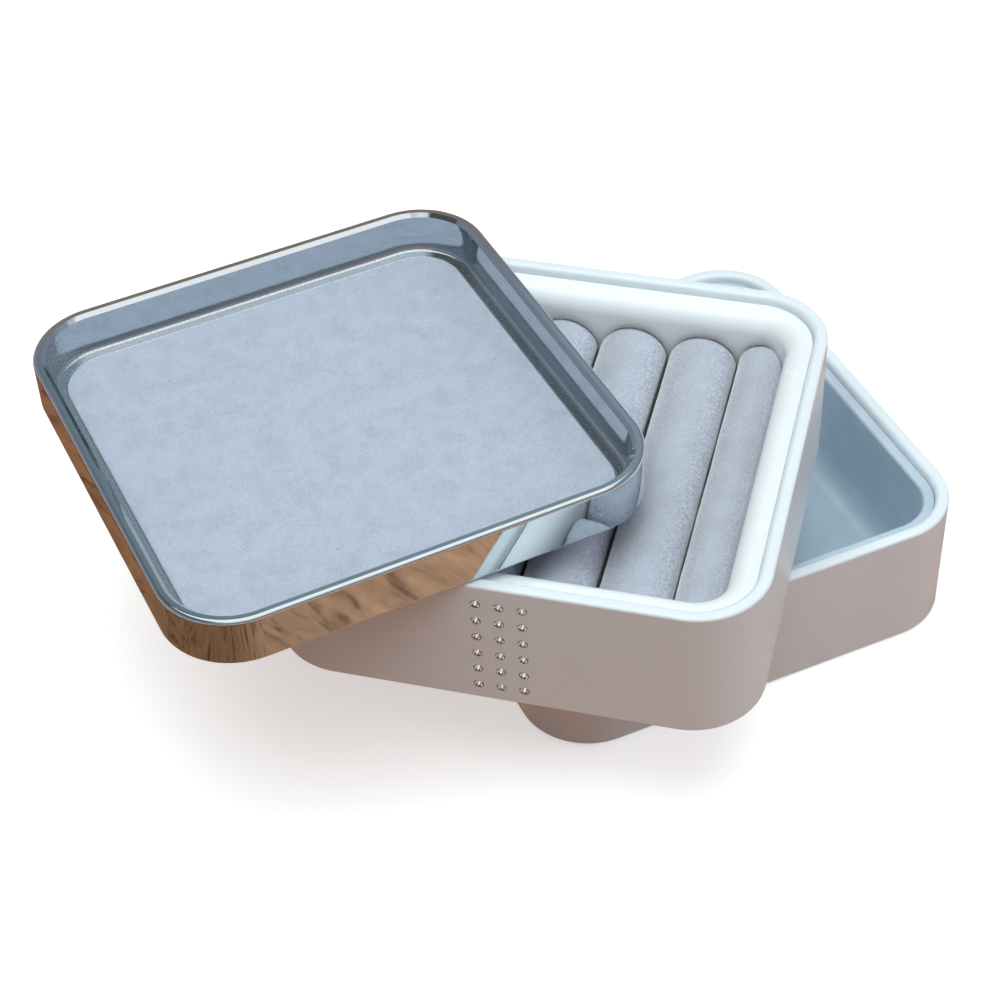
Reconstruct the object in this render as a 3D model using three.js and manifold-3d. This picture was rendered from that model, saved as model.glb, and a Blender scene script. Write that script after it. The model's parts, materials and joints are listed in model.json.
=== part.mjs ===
// A three-tier travel jewelry box whose tiers swivel open about one steel shaft in a corner.
// From the bottom: a deep compartment with a grey liner, a ring compartment with velvet rolls
// and a column pattern of crystals on its front, and a shallow plated tray that is also the lid.
// Millimetres, +Z up. The origin is the centre of the base pad's underside, with the bottom
// tier square to the axes, its front facing -Y and the shaft in its back left corner.
import * as THREE from "three";
import { mergeVertices } from "three/addons/utils/BufferGeometryUtils.js";
import Module from "manifold-3d";

const wasm = await Module();
wasm.setup();

// The tiers' shared outline and the height of each tier.
const side = 100;
const cornerRadius = 15.2;
const bottomHeight = 30.35;
const middleHeight = 31.35;
const trayHeight = 11.15;
const tierGap = 0.35;

// How far the two upper tiers stand open, and how far each can swing from closed.
const middleOpenDegrees = 38.4;
const trayOpenDegrees = 49.8;
const travelDegrees = 180;

// The moulded shells of the two lower tiers.
const wall = 2.9;
const shellFloor = 2.2;
const rimOuterRound = 0.7;
const rimInnerRound = 1.1;
const footRound = 0.5;
const rimStep = 1.8;

// Clearances: round about a fitted piece, and under one that lies on its seat.
const clearance = 0.2;
const seatGap = 0.1;
const overrun = 1;

// The liner of the bottom compartment.
const bottomLinerWall = 2.4;
const bottomLinerFloor = 1.6;
const bottomLinerCove = 5;
const bottomLinerRound = 0.8;
const bottomLinerOuterRound = 0.3;

// The flanged liner of the ring compartment.
const middleFlangeWidth = 5.6;
const middleFlangeThickness = 2;
const middleLinerWall = 1.6;
const middleLinerRound = 4.2;
const middleFlangeRound = 0.3;

// The corner block that carries the shaft in each lower tier.
const pivotInset = 12;
const blockRadius = 6.4;
const blockSleeveWall = 1;

// The shaft, and the hub and stop lug under each upper tier that turn in a block's socket.
const shaftRadius = 2;
const boreRadius = 2.2;
const shaftHeadRadius = 4;
const shaftHeadHeight = 1.1;
const hubRadius = 4.2;
const hubLength = 3;
const hubFloor = 1.4;
const hubBoreRadius = 3.6;
const lugRadius = 5;
const lugDegrees = 24;
const stopClearanceDegrees = 2;
const washerThickness = 0.5;

// The screw and wave washer that hold the tray down on the shaft.
const screwRadius = 1.2;
const screwLength = 6;
const screwHeadRadius = 3;
const screwHeadHeight = 1.3;
const screwSlotWidth = 0.7;
const screwSlotDepth = 0.6;
const tapRadius = 1.4;
const waveWasherThickness = 0.25;
const waveHeight = 0.2;
const waveWasherWidth = 0.9;

// The plated tray and its velvet pad.
const trayWall = 2.4;
const trayRimOuterRound = 0.7;
const trayRimInnerRound = 0.4;
const trayFootRound = 0.8;
const trayLedgeHeight = 1.9;
const trayLedgeWidth = 3.2;
const trayLedgeRound = 0.25;
const trayCove = 0.8;
const trayPadSeat = 1;
const padCardThickness = 0.35;
const padThickness = 0.6;
const padEdgeRound = 0.4;

// The ring pad: a card with velvet rolls, the outer two of them narrower.
const rollCount = 6;
const sideRollWidth = 10.4;
const rollDepth = 7.5;
const rollEndRound = 0.5;
const rollGap = 0.3;
const ringCardThickness = 1.4;

// The crystals set in the front of the ring tier.
const crystalColumns = 3;
const crystalRows = 6;
const crystalRadius = 1;
const crystalColumnPitch = 4.6;
const crystalRowPitch = 4.5;
const crystalTopMargin = 4.9;
const crystalCrown = 0.2;
const crystalTableRadius = 0.56;
const crystalPavilion = 0.85;
const crystalClearance = 0.1;

// The anti-slip pad under the bottom tier.
const basePadInset = 6;
const basePadThickness = 0.9;
const basePadRecess = 0.5;

// Facets: steps in a corner, in a small round, in a roll's arch, and about a round piece.
const cornerSteps = 8;
const roundSteps = 3;
const coveSteps = 4;
const archSteps = 12;
const roundSides = 24;
const waveCount = 3;
const crystalSides = 8;
const tightestCorner = 0.5;

const half = side / 2;
const pivotX = -half + pivotInset;
const pivotY = half - pivotInset;
const basePadProud = basePadThickness + seatGap - basePadRecess;
const linerInset = wall + clearance;
const middleFaceInset = linerInset + middleFlangeWidth;
const sleeveRadius = blockRadius + clearance + blockSleeveWall;
const socketDepth = hubLength - tierGap + washerThickness + seatGap * 2;
const radians = THREE.MathUtils.degToRad;

// The part of a turn, in quarter turns, at which a round of a profile starts or ends.
const OUT = 2;
const UP = 1;
const IN = 0;
const DOWN = 3;

function finish(name, color, roughness, metalness = 0) {
  return new THREE.MeshStandardMaterial({ name, color, roughness, metalness });
}

const gloss = finish("white shell", 0xe9ebec, 0.25);
const linerWhite = finish("white liner", 0xe4e8eb, 0.4);
const linerGrey = finish("grey liner", 0x83919c, 0.45);
const plating = finish("plating", 0xc4cacf, 0.08, 1);
const velvet = finish("velvet", 0xa4a6b4, 1);
const card = finish("card", 0x8c8a88, 0.95);
const steel = finish("steel", 0x9fa3a7, 0.3, 1);
const nylon = finish("nylon", 0xdcd9cf, 0.6);
const crystal = finish("crystal", 0xdfe6ee, 0.03);
const foam = finish("base pad", 0x6f7478, 0.95);

// A closed geometry as a solid that can be joined and cut.
function solidOf(geometry) {
  const bare = geometry.index ? geometry.toNonIndexed() : geometry.clone();
  bare.deleteAttribute("normal");
  bare.deleteAttribute("uv");
  const merged = mergeVertices(bare);
  const corners = merged.index.array;
  const triangles = [];
  for (let i = 0; i < corners.length; i += 3) {
    const [a, b, c] = corners.slice(i, i + 3);
    if (a !== b && b !== c && c !== a) triangles.push(a, b, c);
  }
  return new wasm.Manifold(
    new wasm.Mesh({
      numProp: 3,
      vertProperties: merged.attributes.position.array,
      triVerts: new Uint32Array(triangles),
    }),
  );
}

// A solid as a flat-shaded geometry.
function geometryOf(solid) {
  const { vertProperties, numProp, triVerts } = solid.getMesh();
  const geometry = new THREE.BufferGeometry();
  geometry.setAttribute("position", new THREE.BufferAttribute(vertProperties, numProp));
  geometry.setIndex(new THREE.BufferAttribute(triVerts, 1));
  const flat = geometry.toNonIndexed();
  flat.computeVertexNormals();
  return flat;
}

function meshOf(name, solid, material) {
  const mesh = new THREE.Mesh(geometryOf(solid), material);
  mesh.name = name;
  return mesh;
}

function joined(solids) {
  return solids.reduce((whole, piece) => whole.add(piece));
}

// A skin through rings of points. An open row of rings is closed by a flat cap at each end,
// and a row that returns to its first ring makes a frame.
function loft(rings, frame = false) {
  const count = rings[0].length;
  const index = [];
  const bands = frame ? rings.length : rings.length - 1;
  for (let k = 0; k < bands; k++) {
    const low = k * count;
    const high = ((k + 1) % rings.length) * count;
    for (let i = 0; i < count; i++) {
      const j = (i + 1) % count;
      index.push(low + i, low + j, high + j, low + i, high + j, high + i);
    }
  }
  const last = (rings.length - 1) * count;
  for (let i = 1; i < count - 1 && !frame; i++)
    index.push(0, i + 1, i, last, last + i, last + i + 1);
  const geometry = new THREE.BufferGeometry();
  geometry.setAttribute("position", new THREE.Float32BufferAttribute(rings.flat(2), 3));
  geometry.setIndex(index);
  return solidOf(geometry);
}

// The tiers' rounded square, moved inwards by inset, as a ring of points at one height.
function outlineRing([inset, z]) {
  const radius = Math.max(cornerRadius - inset, tightestCorner);
  const reach = half - inset - radius;
  const ring = [];
  const corners = [[1, 1], [-1, 1], [-1, -1], [1, -1]];
  corners.forEach(([signX, signY], quarter) => {
    for (let i = 0; i <= cornerSteps; i++) {
      const angle = ((quarter + i / cornerSteps) * Math.PI) / 2;
      ring.push([
        signX * reach + radius * Math.cos(angle),
        signY * reach + radius * Math.sin(angle),
        z,
      ]);
    }
  });
  return ring;
}

// A profile of [inset, height] points, carried round the tiers' outline.
function carried(profile, frame = false) {
  return loft(profile.map(outlineRing), frame);
}

function slab(inset, low, high) {
  return carried([[inset, low], [inset, high]]);
}

// A slab whose upper edge is rounded.
function roundedSlab(inset, low, high, radius) {
  return carried([[inset, low], ...round(inset + radius, high - radius, radius, OUT, UP)]);
}

// The points of a round in a profile, between two of OUT, UP, IN and DOWN.
function round(inset, z, radius, from, to, steps = roundSteps) {
  const points = [];
  for (let i = 0; i <= steps; i++) {
    const angle = ((from + ((to - from) * i) / steps) * Math.PI) / 2;
    points.push([inset + radius * Math.cos(angle), z + radius * Math.sin(angle)]);
  }
  return points;
}

// A wall from its foot, up the outside and over the rim to the top of its inside.
function wallProfile(height, thickness, foot, outer, inner) {
  return [
    ...round(foot, foot, foot, DOWN, OUT),
    ...round(outer, height - outer, outer, OUT, UP),
    ...round(thickness - inner, height - inner, inner, UP, IN),
  ];
}

// A round post on the shaft's axis.
function post(radius, low, high) {
  const geometry = new THREE.CylinderGeometry(radius, radius, high - low, roundSides);
  geometry.rotateX(Math.PI / 2);
  geometry.translate(pivotX, pivotY, (low + high) / 2);
  return solidOf(geometry);
}

// A piece revolved about the shaft's axis from [radius, height] points.
function turned(points, sides = roundSides) {
  const geometry = new THREE.LatheGeometry(
    points.map(([radius, height]) => new THREE.Vector2(radius, height)),
    sides,
  );
  geometry.rotateX(Math.PI / 2);
  geometry.translate(pivotX, pivotY, 0);
  return solidOf(geometry);
}

function extruded(shape, low, high) {
  const geometry = new THREE.ExtrudeGeometry(shape, {
    depth: high - low,
    bevelEnabled: false,
    curveSegments: cornerSteps,
  });
  geometry.translate(0, 0, low);
  return solidOf(geometry);
}

// The corner round the shaft: everything nearer to the tier's corner than a rounded edge.
function cornerBlock(radius, low, high) {
  const shape = new THREE.Shape();
  shape.moveTo(-half, pivotY - radius);
  shape.lineTo(pivotX, pivotY - radius);
  shape.absarc(pivotX, pivotY, radius, -Math.PI / 2, 0);
  shape.lineTo(pivotX + radius, half);
  shape.lineTo(-half, half);
  return extruded(shape, low, high);
}

// A slice of a disc on the shaft's axis, from one bearing to another, in degrees.
function sector(radius, from, to, low, high) {
  const shape = new THREE.Shape();
  shape.moveTo(0, 0);
  shape.absarc(0, 0, radius, radians(from), radians(to));
  return extruded(shape, low, high).translate([pivotX, pivotY, 0]);
}

// The stop lug's bearing in its own tier. It points so that its travel bows to the corner.
const cornerBearing = 135;
const lugBearing = cornerBearing + travelDegrees / 2;

// What an upper tier turns on: a hub under its floor with a stop lug at one side.
function hub(top) {
  const lug = sector(
    lugRadius,
    lugBearing - lugDegrees / 2,
    lugBearing + lugDegrees / 2,
    -hubLength,
    top,
  );
  return post(hubRadius, -hubLength, top).add(lug);
}

// The room for a hub in the block below it, wider where the lug sweeps.
function hubSocket(top) {
  const spare = lugDegrees / 2 + stopClearanceDegrees;
  const sweep = sector(
    lugRadius + clearance * 2,
    lugBearing - travelDegrees - spare,
    lugBearing + spare,
    top - socketDepth,
    top + overrun,
  );
  return post(hubRadius + clearance, top - socketDepth, top + overrun).add(sweep);
}

// The solid block in a lower tier's back left corner, fused to the walls and floor.
function pivotBlock(height) {
  const low = shellFloor / 2;
  const room = slab(wall / 2, low, height);
  return cornerBlock(blockRadius, low, height).intersect(room);
}

function lowerShell(height) {
  const profile = [
    ...wallProfile(height, wall, footRound, rimOuterRound, rimInnerRound),
    [wall, shellFloor],
  ];
  return carried(profile).add(pivotBlock(height));
}

function bottomShell() {
  const recess = slab(basePadInset - clearance, -overrun, basePadRecess);
  const headRoom = post(shaftHeadRadius + clearance, 0, shaftHeadTop() + seatGap);
  return lowerShell(bottomHeight)
    .subtract(hubSocket(bottomHeight))
    .subtract(post(boreRadius, 0, bottomHeight))
    .subtract(headRoom)
    .subtract(recess);
}

function basePad() {
  const top = basePadRecess - seatGap;
  return slab(basePadInset, top - basePadThickness, top);
}

function bottomLiner() {
  const low = shellFloor + seatGap;
  const floor = low + bottomLinerFloor;
  const top = bottomHeight - rimStep;
  const face = linerInset + bottomLinerWall;
  const hollow = carried([
    ...round(face + bottomLinerCove, floor + bottomLinerCove, bottomLinerCove, DOWN, OUT, coveSteps),
    ...round(face - bottomLinerRound, top - bottomLinerRound, bottomLinerRound, IN, UP),
    [face - bottomLinerRound, top + overrun],
  ]);
  const sleeve = cornerBlock(sleeveRadius, 0, bottomHeight);
  return roundedSlab(linerInset, low, top, bottomLinerOuterRound)
    .subtract(hollow.subtract(sleeve))
    .subtract(cornerBlock(blockRadius + clearance, 0, bottomHeight));
}

// One crystal, or with spare room the pocket that holds it, on the front's centre line.
function crystalShape(spare) {
  const crown = spare ? overrun : crystalCrown;
  const table = spare ? crystalRadius + spare : crystalTableRadius;
  const points = [
    [0, -crystalPavilion - spare],
    [crystalRadius + spare, -spare],
    [table, crown],
    [0, crown],
  ];
  const geometry = new THREE.LatheGeometry(
    points.map(([radius, height]) => new THREE.Vector2(radius, height)),
    crystalSides,
  );
  geometry.rotateX(Math.PI);
  geometry.translate(0, -half, 0);
  return solidOf(geometry);
}

// The place of each crystal on the front: row by row from the top left.
function crystalPlaces() {
  const places = [];
  for (let row = 0; row < crystalRows; row++)
    for (let column = 0; column < crystalColumns; column++)
      places.push([
        (column - (crystalColumns - 1) / 2) * crystalColumnPitch,
        middleHeight - crystalTopMargin - row * crystalRowPitch,
      ]);
  return places;
}

function middleShell() {
  const pockets = crystalPlaces().map(([x, z]) => crystalShape(crystalClearance).translate([x, 0, z]));
  return lowerShell(middleHeight)
    .add(hub(shellFloor))
    .subtract(hubSocket(middleHeight))
    .subtract(post(boreRadius, -hubLength - overrun, middleHeight))
    .subtract(joined(pockets));
}

function middleLiner() {
  const low = shellFloor + seatGap;
  const top = middleHeight - rimStep;
  const under = top - middleFlangeThickness;
  const back = middleFaceInset - middleLinerWall;
  const backRound = middleLinerRound - middleFlangeThickness;
  const crest = middleFaceInset - middleLinerRound;
  const frame = carried(
    [
      [back, low],
      ...round(back - backRound, under - backRound, backRound, IN, UP),
      [linerInset, under],
      ...round(linerInset + middleFlangeRound, top - middleFlangeRound, middleFlangeRound, OUT, UP),
      ...round(crest, top - middleLinerRound, middleLinerRound, UP, IN, coveSteps),
      [middleFaceInset, low],
    ],
    true,
  );
  const sleeve = cornerBlock(sleeveRadius, low, top)
    .intersect(roundedSlab(linerInset, low, top, middleFlangeRound));
  return frame.add(sleeve).subtract(cornerBlock(blockRadius + clearance, 0, middleHeight));
}

function ringCard() {
  const low = shellFloor + seatGap;
  const board = slab(middleFaceInset + clearance, low, low + ringCardThickness);
  return board.subtract(cornerBlock(sleeveRadius + clearance, 0, middleHeight));
}

// A velvet roll: an arched bar along Y that narrows a little into each end.
function roll(centreX, width, front, back) {
  const base = shellFloor + ringCardThickness + seatGap * 2;
  const top = middleHeight - rollDepth;
  const ringAt = (y, inset) => {
    const radius = width / 2 - inset;
    const ring = [[centreX + radius, y, base], [centreX - radius, y, base]];
    for (let i = archSteps; i >= 0; i--) {
      const angle = (Math.PI * i) / archSteps;
      ring.push([
        centreX + radius * Math.cos(angle),
        y,
        top - width / 2 + radius * Math.sin(angle),
      ]);
    }
    return ring;
  };
  const ends = round(rollEndRound, rollEndRound, rollEndRound, DOWN, OUT);
  const rings = [
    ...ends.map(([inset, along]) => ringAt(front + along, inset)),
    ...ends.reverse().map(([inset, along]) => ringAt(back - along, inset)),
  ];
  return loft(rings);
}

// The rolls from left to right, kept inside the liner's round corners and clear of the
// shaft's sleeve. One whose middle runs into the sleeve ends in front of it.
function ringRolls() {
  const reach = half - middleFaceInset - rollGap / 2;
  const fullWidth = (reach * 2 - sideRollWidth * 2) / (rollCount - 2);
  const room = slab(middleFaceInset + clearance, 0, middleHeight)
    .subtract(cornerBlock(sleeveRadius + rollGap, 0, middleHeight));
  const rolls = [];
  let left = -reach;
  for (let i = 0; i < rollCount; i++) {
    const pitch = i === 0 || i === rollCount - 1 ? sideRollWidth : fullWidth;
    const middle = left + pitch / 2;
    const short = middle < pivotX + sleeveRadius;
    const back = short ? pivotY - sleeveRadius - rollGap : reach - clearance;
    rolls.push(roll(middle, pitch - rollGap, clearance - reach, back).intersect(room));
    left += pitch;
  }
  return rolls;
}

function tray() {
  const recessInset = trayWall + trayLedgeWidth;
  const profile = [
    ...wallProfile(trayHeight, trayWall, trayFootRound, trayRimOuterRound, trayRimInnerRound),
    ...round(trayWall + trayCove, trayLedgeHeight + trayCove, trayCove, OUT, DOWN),
    ...round(recessInset - trayLedgeRound, trayLedgeHeight - trayLedgeRound, trayLedgeRound, UP, IN),
    [recessInset, trayPadSeat],
  ];
  return carried(profile)
    .add(hub(trayPadSeat))
    .subtract(post(hubBoreRadius, hubFloor - hubLength, trayPadSeat + overrun))
    .subtract(post(boreRadius, -hubLength - overrun, trayPadSeat));
}

function padCard() {
  const inset = trayWall + trayLedgeWidth + clearance;
  const low = trayPadSeat + seatGap;
  return slab(inset, low, low + padCardThickness);
}

function velvetPad() {
  const inset = trayWall + trayLedgeWidth + clearance;
  const low = trayPadSeat + padCardThickness + seatGap * 2;
  return roundedSlab(inset, low, low + padThickness, padEdgeRound);
}

// Where things lie along the shaft. The tray's underside is this far above the bottom tier's.
const trayRise = bottomHeight + middleHeight + tierGap * 2;
const hubSeat = trayRise - hubLength + hubFloor;

function shaftHeadTop() {
  return basePadRecess + seatGap + shaftHeadHeight;
}

function pivotShaft() {
  const headLow = basePadRecess + seatGap;
  const top = hubSeat - seatGap;
  const tapLow = top - screwLength;
  return turned([
    [0, headLow],
    [shaftHeadRadius, headLow],
    [shaftHeadRadius, shaftHeadTop()],
    [shaftRadius, shaftHeadTop()],
    [shaftRadius, top],
    [tapRadius, top],
    [tapRadius, tapLow],
    [0, tapLow],
  ]);
}

function frictionWasher(height) {
  const low = height - socketDepth + seatGap;
  const high = low + washerThickness;
  return post(hubRadius, low, high).subtract(post(boreRadius, low - overrun, high + overrun));
}

// A ring of spring steel whose height rises and falls round its turn.
function waveWasher() {
  const rings = [];
  const middle = hubSeat + seatGap + waveHeight / 2;
  for (let i = 0; i < roundSides; i++) {
    const angle = (i / roundSides) * Math.PI * 2;
    const low = middle + (Math.sin(angle * waveCount) * waveHeight) / 2;
    const high = low + waveWasherThickness;
    const far = boreRadius + waveWasherWidth;
    const corners = [[boreRadius, high], [far, high], [far, low], [boreRadius, low]];
    const across = ([radius, z]) => [radius * Math.cos(angle), radius * Math.sin(angle), z];
    rings.push(corners.map(across));
  }
  return loft(rings, true).translate([pivotX, pivotY, 0]);
}

function retainingScrew() {
  const headLow = hubSeat + seatGap * 2 + waveHeight + waveWasherThickness;
  const headTop = headLow + screwHeadHeight;
  const tip = hubSeat - screwLength + seatGap;
  const blank = turned([
    [0, tip],
    [screwRadius, tip],
    [screwRadius, headLow],
    [screwHeadRadius, headLow],
    [screwHeadRadius, headTop - screwSlotDepth],
    [screwHeadRadius - screwSlotDepth, headTop],
    [0, headTop],
  ]);
  const slot = new THREE.BoxGeometry(screwHeadRadius * 2, screwSlotWidth, screwSlotDepth * 2);
  const cross = solidOf(slot).add(solidOf(slot.clone().rotateZ(Math.PI / 2)));
  return blank.subtract(cross.translate([pivotX, pivotY, headTop]));
}

// A tier that swings about the shaft: its pieces, raised and turned clockwise from closed.
function swung(pieces, rise, degrees) {
  const tier = new THREE.Group();
  tier.position.set(-pivotX, -pivotY, 0);
  tier.add(...pieces);
  const hinge = new THREE.Group();
  hinge.position.set(pivotX, pivotY, rise);
  hinge.rotation.z = -radians(degrees);
  hinge.add(tier);
  return hinge;
}

function crystals() {
  return crystalPlaces().map(([x, z], i) => {
    const mesh = meshOf(`crystal_${String(i + 1).padStart(2, "0")}`, crystalShape(0), crystal);
    mesh.position.set(x, 0, z);
    return mesh;
  });
}

const trayPieces = [
  meshOf("lid_tray", tray(), plating),
  meshOf("lid_pad_card", padCard(), card),
  meshOf("lid_velvet_pad", velvetPad(), velvet),
];

const middlePieces = [
  meshOf("middle_shell", middleShell(), gloss),
  meshOf("middle_liner", middleLiner(), linerWhite),
  meshOf("ring_pad_card", ringCard(), card),
  ...ringRolls().map((solid, i) => meshOf(`ring_roll_${i + 1}`, solid, velvet)),
  ...crystals(),
  meshOf("upper_friction_washer", frictionWasher(middleHeight), nylon),
  swung(trayPieces, middleHeight + tierGap, trayOpenDegrees),
];

const bottomPieces = [
  meshOf("bottom_shell", bottomShell(), gloss),
  meshOf("bottom_liner", bottomLiner(), linerGrey),
  meshOf("base_pad", basePad(), foam),
  meshOf("pivot_shaft", pivotShaft(), steel),
  meshOf("lower_friction_washer", frictionWasher(bottomHeight), nylon),
  meshOf("wave_washer", waveWasher(), steel),
  meshOf("retaining_screw", retainingScrew(), steel),
  swung(middlePieces, bottomHeight + tierGap, middleOpenDegrees),
];

const box = new THREE.Group();
box.name = "travel_jewelry_box";
box.position.z = basePadProud;
box.add(...bottomPieces);

export default box;
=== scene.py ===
import json
import math

import bmesh
import bpy
from bpy.props import FloatProperty, FloatVectorProperty, IntProperty, PointerProperty
from bpy.types import Operator, Panel, PropertyGroup
from mathutils import Matrix, Vector


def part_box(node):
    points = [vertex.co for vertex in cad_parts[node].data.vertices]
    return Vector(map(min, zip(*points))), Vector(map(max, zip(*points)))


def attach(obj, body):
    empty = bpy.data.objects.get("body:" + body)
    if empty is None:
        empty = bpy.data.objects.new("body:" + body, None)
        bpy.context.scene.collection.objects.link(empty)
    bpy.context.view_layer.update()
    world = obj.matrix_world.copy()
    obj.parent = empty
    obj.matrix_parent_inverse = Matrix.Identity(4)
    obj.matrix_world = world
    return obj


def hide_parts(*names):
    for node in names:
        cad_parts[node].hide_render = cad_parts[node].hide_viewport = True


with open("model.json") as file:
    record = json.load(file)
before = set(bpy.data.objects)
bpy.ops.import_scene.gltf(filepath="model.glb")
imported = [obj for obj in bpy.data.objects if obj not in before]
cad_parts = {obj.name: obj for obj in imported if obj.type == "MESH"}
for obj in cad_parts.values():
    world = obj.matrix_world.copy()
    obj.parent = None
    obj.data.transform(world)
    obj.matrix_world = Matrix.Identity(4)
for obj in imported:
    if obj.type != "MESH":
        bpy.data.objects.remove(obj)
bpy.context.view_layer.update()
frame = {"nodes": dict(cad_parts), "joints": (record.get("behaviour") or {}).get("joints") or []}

bl_info = {
    "name": "Tiered Travel Jewelry Box",
    "version": (1, 0, 0),
    "blender": (4, 5, 0),
    "location": "View3D > Sidebar > Jewelry Box",
    "description": "Dresses a three-tier swivelling jewelry box in moulded plastic, plating and velvet",
    "category": "Object",
}

SHELL_LOW, SHELL_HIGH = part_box("bottom_shell")
LINER_LOW, LINER_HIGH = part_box("bottom_liner")
MIDDLE_LOW, MIDDLE_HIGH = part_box("middle_shell")
MIDDLE_LINER_LOW, MIDDLE_LINER_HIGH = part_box("middle_liner")
TRAY_LOW, TRAY_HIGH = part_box("lid_tray")
PAD_LOW, PAD_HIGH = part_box("lid_velvet_pad")
BASE_PAD_LOW, BASE_PAD_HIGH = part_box("base_pad")
ROLL_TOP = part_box("ring_roll_3")[1].z
JOINTS = {joint["name"]: joint for joint in frame["joints"]}
HALF_SIDE = (SHELL_HIGH.x - SHELL_LOW.x) / 2
AXIS = Vector(JOINTS["middle_swivel"]["pos_m"])

# Distances in metres within which two places on a piece count as one, or a face as central.
SAME_LEVEL = 0.00002
SAME_LOOP = 0.00004
SAME_END = 0.00001
SAME_CORNER = 0.0001
CENTRAL = 0.001
# An edge that rises by more than this counts as upright.
UPRIGHT = 0.001

# Where a stop lug points in its own tier, and the turn to spare at each end of its arc.
LUG_BEARING = math.radians(225)
LUG_SPARE = math.radians(2)
# Facets in each round of the corner block, and round the arc that a lug sweeps.
BLOCK_STEPS = 20
SWEEP_SIDES = 96

# How far a pocket's lining reaches, in depths and radii of a crystal, and where it starts, in metres.
POCKET_REACH = 1.5
POCKET_LIP = 0.00005
# How much further each crystal is turned than the last, in radians.
STONE_TURN = 0.7


# Sizes and colours that a user can change.


def length(name, description, millimetres):
    """A length property that a user sees in the panel."""
    return FloatProperty(
        name=name,
        description=description,
        default=millimetres / 1000,
        min=0.0,
        precision=5,
        subtype="DISTANCE",
        unit="LENGTH",
    )


def colour(name, description, value):
    """A colour property."""
    return FloatVectorProperty(
        name=name, description=description, default=value, size=3, min=0.0, max=1.0, subtype="COLOR"
    )


class JewelryBoxSizes(PropertyGroup):
    corner: length("Corner radius", "Radius of the tiers' corners seen from above", 15.2)
    wall: length("Shell wall", "Thickness of the two lower tiers' walls", 2.9)
    shell_floor: length("Shell floor", "Thickness of the two lower tiers' floors", 2.2)
    rim_outer: length("Outer rim round", "Round on the outer edge of a lower tier's rim", 0.7)
    rim_inner: length("Inner rim round", "Round on the inner edge of a lower tier's rim", 1.1)
    foot: length("Foot round", "Round on the bottom edge of a lower tier", 0.5)
    fit: length("Fit", "Clearance round a fitted piece", 0.2)
    liner_fit: length("Liner fit", "Gap in sight between a shell and its liner", 0.08)
    block: length("Corner block radius", "Radius of the block that carries the shaft", 6.4)
    sleeve_wall: length("Sleeve wall", "Wall of a liner's sleeve round the corner block", 1.0)
    bore: length("Bore radius", "Radius of the shaft's bore", 2.2)
    head_bore: length("Head bore radius", "Radius of the counterbore for the shaft's head", 4.2)
    head_depth: length("Head bore depth", "Depth of the counterbore for the shaft's head", 1.8)
    hub: length("Hub radius", "Radius of the hub under an upper tier", 4.2)
    hub_length: length("Hub length", "How far the hub reaches below its tier", 3.0)
    hub_floor: length("Hub floor", "Thickness of the tray hub's floor", 1.4)
    hub_bore: length("Hub bore", "Radius of the tray hub's bore", 3.6)
    lug: length("Lug radius", "Radius of the stop lug on a hub", 5.0)
    socket: length("Socket depth", "Depth of the socket that a hub turns in", 3.35)
    recess_inset: length("Recess inset", "Distance from a side to the base pad's recess", 5.8)
    recess: length("Recess depth", "Depth of the base pad's recess", 0.5)
    liner_wall: length("Bottom liner wall", "Thickness of the bottom liner's wall", 2.4)
    liner_floor: length("Bottom liner floor", "Thickness of the bottom liner's floor", 1.6)
    liner_cove: length("Bottom liner cove", "Radius between the liner's wall and floor", 5.0)
    liner_round: length("Bottom liner round", "Round on the liner's top inner edge", 0.8)
    liner_edge: length("Liner edge", "Round on the top outer edge of either liner", 0.3)
    flange: length("Flange width", "Width of the middle liner's flange", 5.6)
    flange_thickness: length("Flange thickness", "Thickness of the middle liner's flange", 2.0)
    flange_round: length("Flange round", "Round from the flange into the liner's wall", 4.2)
    middle_wall: length("Middle liner wall", "Thickness of the middle liner's wall", 1.6)
    tray_wall: length("Tray wall", "Thickness of the tray's wall at its rim", 2.5)
    tray_draft: length("Tray draft", "How much thicker the tray's wall is at its foot", 0.5)
    tray_rim_outer: length("Outer tray rim", "Round on the outer edge of the tray's rim", 0.9)
    tray_rim_inner: length("Inner tray rim", "Chamfer on the inner edge of the tray's rim", 0.75)
    tray_foot: length("Tray foot round", "Round on the tray's bottom edge", 0.8)
    tray_cove: length("Tray cove", "Radius between the tray's wall and ledge", 0.8)
    ledge: length("Ledge width", "Width of the ledge round the tray's pad", 2.6)
    ledge_height: length("Ledge height", "Height of the ledge above the tray's underside", 1.9)
    ledge_round: length("Ledge round", "Round on the ledge's inner edge", 0.25)
    pad_seat: length("Pad seat", "Thickness of the tray's floor under the pad", 1.0)
    pad_fit: length("Pad fit", "Gap in sight between the tray's ledge and its pad", 0.05)
    roll_end: length("Roll end round", "Round at a ring roll's ends", 0.5)
    roll_nap: length("Nap height", "Height of the velvet's standing fibres", 0.05)
    stone: length("Crystal radius", "Radius of a crystal at its girdle", 0.88)
    stone_table: length("Crystal table", "Radius of a crystal's table", 0.56)
    stone_crown: length("Crystal crown", "Height of a crystal above its girdle", 0.2)
    stone_pavilion: length("Crystal pavilion", "Depth of a crystal below its girdle", 0.71)
    stone_fit: length("Crystal fit", "Clearance of a crystal in its pocket", 0.14)
    lug_angle: FloatProperty(
        name="Lug angle", description="Width of the stop lug", default=math.radians(24), subtype="ANGLE"
    )
    corner_steps: IntProperty(
        name="Corner steps", description="Facets in a tier's corner", default=24, min=4, max=64
    )


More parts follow.
